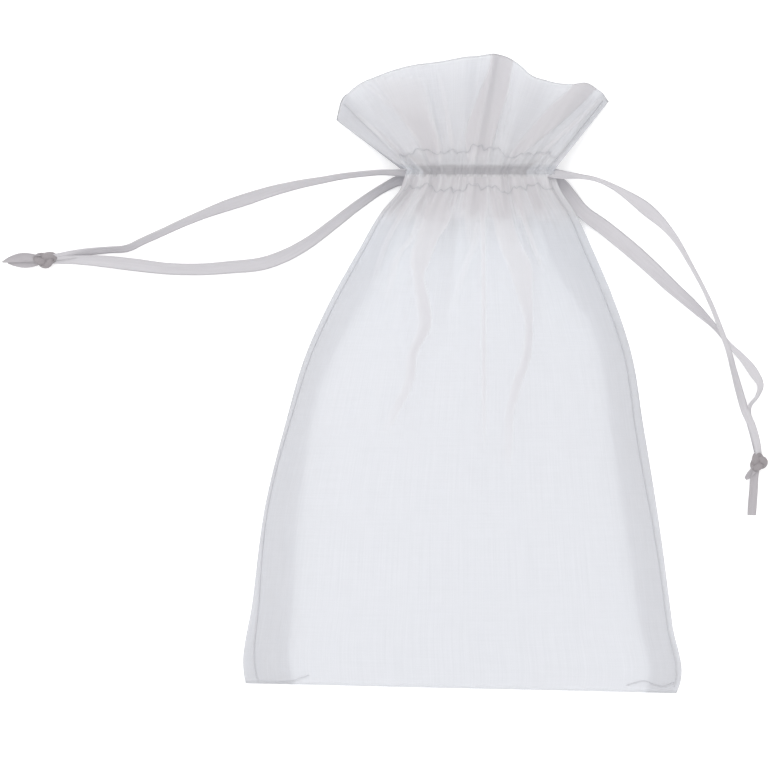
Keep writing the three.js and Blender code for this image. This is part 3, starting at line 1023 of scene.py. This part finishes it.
@dataclass(frozen=True)
class Strip:
    """A length of flat ribbon along a route, with its turn, curl and width along the way.

    Attributes:
        route: rows of x, y, the lower edge's height, the width that shows from above, and the width.
        curl: how far the ribbon rolls up across its width, in degrees.
        thickness: the ribbon's thickness.
        steps: points along it.
        across: points across each face of it.
        selvedge: how much thicker its edges are, and where they start across it.
    """

    route: Points
    curl: float = 40
    thickness: float = 0.16
    steps: int = 130
    across: int = 9
    selvedge: tuple[float, float] = (0.5, 0.42)

    def path(self) -> np.ndarray:
        """Samples the route: x, y, z, tilt in radians and width."""
        rows = np.array(self.route, float)
        run = run_along(rows[:, :3])
        table = np.column_stack([run, rows])
        place = np.linspace(0, run[-1], self.steps)
        x, y, lift, shown, width = (through(table, place, c) for c in range(1, 6))
        tilt = np.arccos(np.clip(shown / width, 0, 1))
        return np.column_stack([x, y, lift + width / 2 * np.sin(tilt) + self.thickness, tilt, width])

    def build(self, name: str, sideways: Vector | None = None) -> bpy.types.Object:
        """Builds the ribbon as a closed thin solid.

        Args:
            name: the piece's name.
            sideways: holds the ribbon's width along this way where it runs up and down.

        Returns:
            The ribbon's object.
        """
        samples = self.path()
        centre, tilt, width = samples[:, :3], samples[:, 3], samples[:, 4]
        along = unit(np.gradient(centre, axis=0))
        if sideways is None:
            level = np.cross(along, UP)
        else:
            level = np.tile(np.array(sideways, float), (self.steps, 1))
        level = unit(level)
        upright = np.cross(level, along)
        lateral = level * np.cos(tilt)[:, None] + upright * np.sin(tilt)[:, None]
        normal = upright * np.cos(tilt)[:, None] - level * np.sin(tilt)[:, None]
        place = np.linspace(-0.5, 0.5, self.across)
        bend = math.radians(self.curl)
        out = np.sin(place * 2 * bend) / (2 * bend)
        up = (1 - np.cos(place * 2 * bend)) / (2 * bend)
        selvedge = 1 + self.selvedge[0] * (np.abs(place) > self.selvedge[1])
        rings = []
        for way in (1, -1):
            order = slice(None) if way == 1 else slice(None, None, -1)
            rise = width[:, None] * up[None, order] + way * self.thickness / 2 * selvedge[None, order]
            rings.append(
                centre[:, None] + lateral[:, None] * (width[:, None] * out[None, order])[..., None]
                + normal[:, None] * rise[..., None]
            )
        points = np.concatenate(rings, axis=1)
        columns = points.shape[1]
        faces = grid_faces(self.steps, columns, wrapped=True)
        n = self.across
        for c in range(n - 1):
            faces.append((c + 1, c, columns - 1 - c, columns - 2 - c))
            last = (self.steps - 1) * columns
            faces.append((last + c, last + c + 1, last + columns - 2 - c, last + columns - 1 - c))
        run = run_along(centre)
        across_mm = np.concatenate([place, place[::-1]])[None] * width[:, None]
        uv = np.stack([across_mm, np.repeat(run[:, None], columns, axis=1)], axis=-1)
        piece = new_mesh(name, points.reshape(-1, 3), faces, uv.reshape(-1, 2))
        only(piece)
        bpy.ops.object.mode_set(mode="EDIT")
        bpy.ops.mesh.select_all(action="SELECT")
        bpy.ops.mesh.normals_make_consistent(inside=False)
        bpy.ops.object.mode_set(mode="OBJECT")
        return piece


@dataclass
class Drawstring:
    """One ribbon: its run through the casing, two strands outside it, the knot and the tails.

    Attributes:
        side: left or right, where it leaves the casing.
        casing: its run through the casing and round the neck.
        front: the strand from the front casing to the knot.
        back: the strand from the back casing to the knot.
        tails: the ends past the knot.
        knot_centre: the knot's middle.
        knot_turn: the knot's direction on the table, in degrees from +X.
        knot_size: the knot's scale along that direction and across it.
        lengths: the real lengths of the front and the back strand, in metres; not used.
        knot_ribbon: half the width and half the thickness of the bunched ribbon in the knot.
    """

    side: str
    casing: Strip
    front: Strip
    back: Strip
    tails: dict[str, Strip]
    knot_centre: tuple[float, float, float]
    knot_turn: float
    knot_size: tuple[float, float]
    lengths: tuple[float, float]
    knot_ribbon: tuple[float, float] = (1.35, 0.9)

    def _keep(self, piece: bpy.types.Object, ribbon: bpy.types.Material, node: str) -> bpy.types.Object:
        """Dresses a piece and puts it in place of its CAD node."""
        piece.data.materials.append(ribbon)
        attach(piece, f"{self.side}_drawstring")
        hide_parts(f"{self.side}_{node}")
        return piece

    def _knot(self) -> bpy.types.Object:
        """Ties the overhand knot: a crumpled ribbon along a trefoil, which crosses itself three times."""
        t = np.linspace(0, 2 * math.pi, 121)[:-1]
        x = np.sin(t) + 2 * np.sin(2 * t)
        y = 0.82 * (np.cos(t) - 2 * np.cos(2 * t))
        z = -0.95 * np.sin(3 * t)
        turn = math.radians(self.knot_turn)
        long, wide = self.knot_size
        x, y = long * x, wide * y
        path = np.column_stack([
            self.knot_centre[0] + x * math.cos(turn) - y * math.sin(turn),
            self.knot_centre[1] + x * math.sin(turn) + y * math.cos(turn),
            self.knot_centre[2] + 0.8 * z,
        ])
        along = unit(np.roll(path, -1, axis=0) - np.roll(path, 1, axis=0))
        level = unit(np.cross(along, UP))
        off = np.cross(level, along)
        sides = 12
        around = np.arange(sides) / sides * 2 * math.pi
        crease = 1 + 0.12 * np.sin(4 * around)[None] * np.sin(5 * t)[:, None]
        half_width, half_thick = self.knot_ribbon
        ring = (
            level[:, None] * (half_width * np.cos(around) * crease)[..., None]
            - off[:, None] * (half_thick * np.sin(around) * crease)[..., None]
        )
        points = (path[:, None] + ring).reshape(-1, 3)
        faces = grid_faces(len(t), sides, wrapped=True)
        last = (len(t) - 1) * sides
        for c in range(sides):
            right = (c + 1) % sides
            faces.append((last + c, last + right, right, c))
        uv = np.stack([np.tile(around * 1.2, len(t)), np.repeat(t * 3, sides)], axis=1)
        return new_mesh(f"{self.side}_overhand_knot", points, faces, uv)

    def build(
        self, ribbon: bpy.types.Material, shaded_ribbon: bpy.types.Material, shaded_ends: bpy.types.Material
    ) -> None:
        """Builds and dresses every piece of this drawstring, and logs its strands' lengths.

        Args:
            ribbon: the finish of the free ribbon.
            shaded_ribbon: a darker copy of the free ribbon's finish, painted shade, for the ribbon in the
                casing and the knot.
            shaded_ends: a darker copy of the free ribbon's finish, painted shade, for the ends past the knot.
        """
        way = -1 if self.side == "left" else 1
        run = self.casing.build(f"{self.side}_casing_ribbon", Vector((0, way, 0)))
        # The run in the casing and the knot take the darker copy of the ribbon: painted shade.
        self._keep(run, shaded_ribbon, "ribbon_in_casing")
        knot = self._keep(self._knot(), shaded_ribbon, "knot")
        ends = [knot]
        # The ends take the second darker copy of the ribbon: painted shade.
        for name, strip in self.tails.items():
            ends.append(self._keep(strip.build(f"{self.side}_{name}_ribbon_end"), shaded_ends, f"{name}_tail"))
        strands = {"front": self.front, "back": self.back}
        for (name, strip), length in zip(strands.items(), self.lengths):
            piece = self._keep(strip.build(f"{self.side}_{name}_ribbon"), ribbon, f"{name}_strand")
            path = strip.path()[:, :3] * MM
            ends if name == "front" else []
            log.info("%s %s strand: %.1f mm", self.side, name, run_along(path)[-1] / MM)


def casing_strip(side: int, near_x: float, far_x: float, front: float, back: float) -> Strip:
    """Lays a ribbon through the front casing, round the far side of the neck and back through the other.

    Args:
        side: -1 for the left drawstring and 1 for the right one.
        near_x: where it leaves the casing.
        far_x: where it starts to turn.
        front: its height in the front casing.
        back: its height in the back casing.

    Returns:
        The ribbon's strip.
    """
    run_y, back_y, turn_y = 71.7, 69.9, 75.5
    span = far_x - near_x
    radius = (front - back) / 2
    width, folded = 4.2, 2.8
    rows = [
        (near_x + share * span, run_y + 0.25 * math.sin(9 * share), front, width)
        for share in (0, 0.2, 0.4, 0.6, 0.8)
    ]
    rows.append((near_x + 0.92 * span, mix(run_y, turn_y, 0.6), front, folded))
    rows.append((far_x, turn_y, front, folded))
    for degrees in (60, 30, 0, -30, -60):
        turn = math.radians(degrees)
        x = far_x - side * 0.6 * radius * math.cos(turn)
        rows.append((x, turn_y, back + radius * (1 + math.sin(turn)), folded))
    rows.append((far_x, turn_y, back, folded))
    rows.append((near_x + 0.9 * span, mix(back_y, turn_y, 0.6), back, folded))
    rows += [(near_x + share * span, back_y, back, width) for share in (0.8, 0.6, 0.4, 0.2, 0)]
    return Strip(tuple((*row, row[-1]) for row in rows), curl=12, steps=200)


def left_drawstring() -> Drawstring:
    """The left drawstring as it lies, with both strands running out to the left."""
    front = Strip((
        (-18.5, 71.4, 7.5, 3, 4.4), (-23.4, 71.8, 6.6, 2, 5.4), (-28.9, 72, 5.4, 1.5, 5.8),
        (-34, 71.7, 3.8, 1.5, 6), (-42, 70.9, 1.9, 1.7, 6), (-49, 69.7, 0.6, 2, 6),
        (-57, 68.2, 0.1, 2.6, 6), (-68, 65.4, 0.1, 3.5, 6), (-76.6, 62.6, 0.1, 4, 6),
        (-84, 60.2, 0.1, 3.7, 6), (-90, 58, 0.1, 3, 6), (-98, 54.7, 0.1, 2.5, 5.8),
        (-106, 51, 0.1, 2.3, 5.4), (-112.6, 48, 0.1, 2.3, 5), (-118, 45.5, 0.1, 2.3, 4.6),
        (-123.7, 45, 0.3, 2.2, 4.2), (-130, 44.4, 0.6, 2.4, 4), (-137, 43.2, 1, 2.8, 3.8),
        (-144.4, 41.8, 1.6, 2.2, 2.6),
    ), curl=30)
    back = Strip((
        (-18.5, 69.4, 1.5, 4.2, 4.4), (-22.4, 69.2, 1, 3.6, 5), (-27.1, 67.2, 0.4, 3, 5.6),
        (-35.9, 61.5, 0.1, 3.2, 6), (-46.5, 53.3, 0.1, 3.6, 6), (-53.5, 48, 0.1, 3.9, 6),
        (-61, 43.6, 0.1, 4.3, 6), (-69.3, 40.4, 0.1, 4.5, 6), (-81.7, 38.9, 0.1, 4.3, 6),
        (-92.2, 38.2, 0.1, 4, 6), (-102.8, 38.4, 0.1, 4, 6), (-115.8, 39.8, 0.1, 4.4, 5.8),
        (-124, 40.6, 0.1, 4.2, 5), (-131, 41.1, 0.1, 3.6, 4.2), (-138, 41.3, 0.3, 3, 3.4),
        (-144.2, 41, 1, 2.4, 2.6),
    ), curl=30)
    tails = {
        "upper": Strip((
            (-148, 41.5, 2.2, 2.2, 2.4), (-150.7, 41.9, 1.6, 3, 3.4), (-154.5, 42, 1.1, 3.5, 3.8),
            (-158.5, 41.3, 0.9, 2.4, 2.6), (-161.7, 40.3, 0.9, 0.5, 0.5),
        ), steps=40),
        "lower": Strip((
            (-148, 40.5, 1.4, 2, 2), (-150.6, 40, 0.6, 2.4, 2.6), (-154, 39.7, 0.3, 2.6, 2.8),
            (-157.2, 39.8, 0.3, 1.8, 1.9), (-159.8, 40, 0.3, 0.5, 0.5),
        ), steps=40),
    }
    casing = casing_strip(-1, -18, 30, 8.9, 1.5)
    return Drawstring(
        "left", casing, front, back, tails, knot_centre=(-146.4, 41.1, 2.4), knot_turn=5,
        knot_size=(1.05, 0.72), lengths=(0.132, 0.134),
    )


def right_drawstring() -> Drawstring:
    """The right drawstring as it lies, curling down beside the pouch."""
    front = Strip((
        (30, 70.9, 8.6, 3.6, 4.4), (34.5, 70, 7.9, 3.2, 5.2), (40.5, 69.4, 5.9, 2.1, 5.6),
        (46.7, 68.4, 3.6, 1.7, 5.8), (52.1, 66.2, 1.7, 2.2, 6), (56.1, 64, 0.7, 3.1, 6),
        (64.3, 58.6, 0.15, 4.9, 6), (72.4, 50.5, 0.15, 3.1, 6), (80.5, 37.6, 0.6, 1.8, 5),
        (87.3, 24.1, 2.2, 1.8, 3.6), (90.6, 15.6, 2.8, 1.9, 3.2), (92.7, 9.9, 2.6, 2.1, 3.4),
        (95, 1.6, 2, 2.5, 3.6), (96.8, -5, 2, 2.9, 3.8), (98.8, -11.8, 2.3, 3, 3.8),
        (101.5, -17.9, 2.2, 2.9, 3.6), (103, -23, 2.2, 2.7, 3.2), (103.9, -27.4, 1.9, 2.2, 2.6),
    ), curl=26)
    back = Strip((
        (30, 69, 0.8, 4.2, 4.4), (34, 67.6, 0.6, 4.6, 5.4), (37.6, 63.4, 0.4, 4.8, 6),
        (41.3, 58.6, 0.3, 5.1, 6), (50.1, 51.9, 0.15, 5.5, 6), (58.9, 44.8, 0.1, 5.6, 6),
        (66, 38.4, 0.1, 5.4, 6), (72.4, 32.2, 0.1, 5, 6), (81.9, 23.7, 0.1, 3.8, 5),
        (89.3, 16.6, 0.1, 1.9, 2.8), (93.4, 11.5, 0.1, 1.8, 2.8), (98.1, 6.5, 0.1, 2.7, 4),
        (102.2, 1.1, 0.1, 3.6, 5), (104.3, -3.4, 0.1, 2.6, 5), (103.2, -6.8, 0.1, 1.7, 4.4),
        (100.8, -10.2, 0.1, 1.6, 3.4), (100.6, -15, 0.1, 2.2, 3), (102, -20, 0.3, 2.4, 2.8),
        (103.4, -26.6, 0.9, 2, 2.4),
    ), curl=20)
    tails = {
        "long": Strip((
            (103.2, -32.2, 1.6, 2.2, 2.4), (102.4, -36, 0.8, 3, 3.2), (102.1, -40, 0.3, 3.2, 3.6),
            (101.8, -44.5, 0.2, 3.3, 3.6), (101.6, -48.7, 0.2, 3.2, 3.4),
        ), steps=50, curl=30),
        "short": Strip((
            (102.4, -32, 2.2, 2, 2.2), (101.4, -33.6, 1.8, 2.6, 2.8), (100.4, -34.9, 1.4, 2.2, 2.4),
            (99.6, -35.9, 1.2, 1, 1),
        ), steps=24),
    }
    casing = casing_strip(1, 29, -18, 9.5, 0.8)
    return Drawstring(
        "right", casing, front, back, tails, knot_centre=(104, -30, 2.6), knot_turn=78,
        knot_size=(0.78, 0.78), lengths=(0.133, 0.133),
    )


# ---- Studio ----


@dataclass
class Studio:
    """The table, the soft light and the camera straight above the pouch, in metres.

    Attributes:
        view_width: what the camera sees across at the table.
        look_at: the point below the camera.
        distance: the camera's height.
        sensor: the camera sensor's width, in millimetres.
        sky: the strength of the white light from all round.
        lamp_power: the soft lamp's power, in watts.
        lamp_size: its width.
        lamp_place: where it hangs.
        clear_layers: how many see-through layers light can cross.
    """

    view_width: float = 0.2703
    look_at: tuple[float, float] = (-0.0275, -0.0026)
    distance: float = 1.1
    sensor: float = 36
    sky: float = 1.06
    lamp_power: float = 7
    lamp_size: float = 1.2
    lamp_place: tuple[float, float, float] = (-0.5, 0.6, 1.5)
    clear_layers: int = 64

    def camera(self) -> None:
        """Hangs the camera above the pouch, looking straight down with +Y up."""
        data = bpy.data.cameras.new("overhead_camera")
        data.sensor_width = self.sensor
        data.lens = self.sensor * self.distance / self.view_width
        data.clip_end = 20
        camera = bpy.data.objects.new("overhead_camera", data)
        camera.location = (*self.look_at, self.distance)
        bpy.context.scene.collection.objects.link(camera)
        bpy.context.scene.camera = camera

    def table(self) -> None:
        """Spreads white paper under the pouch."""
        bpy.ops.object.select_all(action="DESELECT")
        bpy.ops.mesh.primitive_plane_add(size=6, location=(0, 0, -0.0002))
        table = bpy.context.active_object
        table.name = "table"
        table.data.materials.append(TableFinish().material())

    def lights(self) -> None:
        """Lights the table evenly, with a little more from the upper left."""
        world = bpy.data.worlds.new("white_room")
        world.use_nodes = True
        background = world.node_tree.nodes["Background"]
        background.inputs["Color"].default_value = (1, 1, 1, 1)
        background.inputs["Strength"].default_value = self.sky
        bpy.context.scene.world = world
        data = bpy.data.lights.new("soft_box", "AREA")
        data.size = self.lamp_size
        data.energy = self.lamp_power
        lamp = bpy.data.objects.new("soft_box", data)
        lamp.location = self.lamp_place
        toward = Vector((0, 0, 0)) - lamp.location
        lamp.rotation_euler = toward.to_track_quat("-Z", "Y").to_euler()
        bpy.context.scene.collection.objects.link(lamp)
        bpy.context.scene.view_settings.view_transform = "Standard"
        bpy.context.scene.cycles.transparent_max_bounces = self.clear_layers


def main() -> None:
    """Builds the camera, the drawstrings, the cloth, the sewing and the studio in turn."""
    logging.basicConfig(level=logging.INFO, format="%(name)s: %(message)s")
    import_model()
    studio = Studio()
    studio.camera()
    ribbon = RibbonFinish().material()
    # A darker copy of the ribbon's finish, painted shade, for the ribbon in the casing and the knot.
    shaded_ribbon = RibbonFinish(
        name="painted_shade_ribbon", face=(0.39, 0.36, 0.375, 1), groove=(0.27, 0.245, 0.255, 1),
        glow=(0.22, 0.205, 0.215, 1),
    ).material()
    # Another darker copy of the ribbon's finish, painted shade, for the ends past the knots.
    shaded_ends = RibbonFinish(
        name="painted_shade_end_ribbon", face=(0.56, 0.535, 0.56, 1), groove=(0.4, 0.38, 0.4, 1),
        glow=(0.4, 0.38, 0.4, 1),
    ).material()
    for drawstring in (left_drawstring(), right_drawstring()):
        drawstring.build(ribbon, shaded_ribbon, shaded_ends)
        log.info("%s drawstring built", drawstring.side)
    studio.table()
    cloth = PouchCloth()
    cloth.build()
    cloth.dress(OrganzaFinish().material())
    thread = ThreadFinish().material()
    sewing = Stitching(cloth)
    sewing.side_seams(thread)
    sewing.casing_rows(thread)
    sewing.loose_ends(thread)
    log.info("%d threads sewn", len(sewing.pieces))
    studio.lights()


if __name__ == "__main__":
    main()
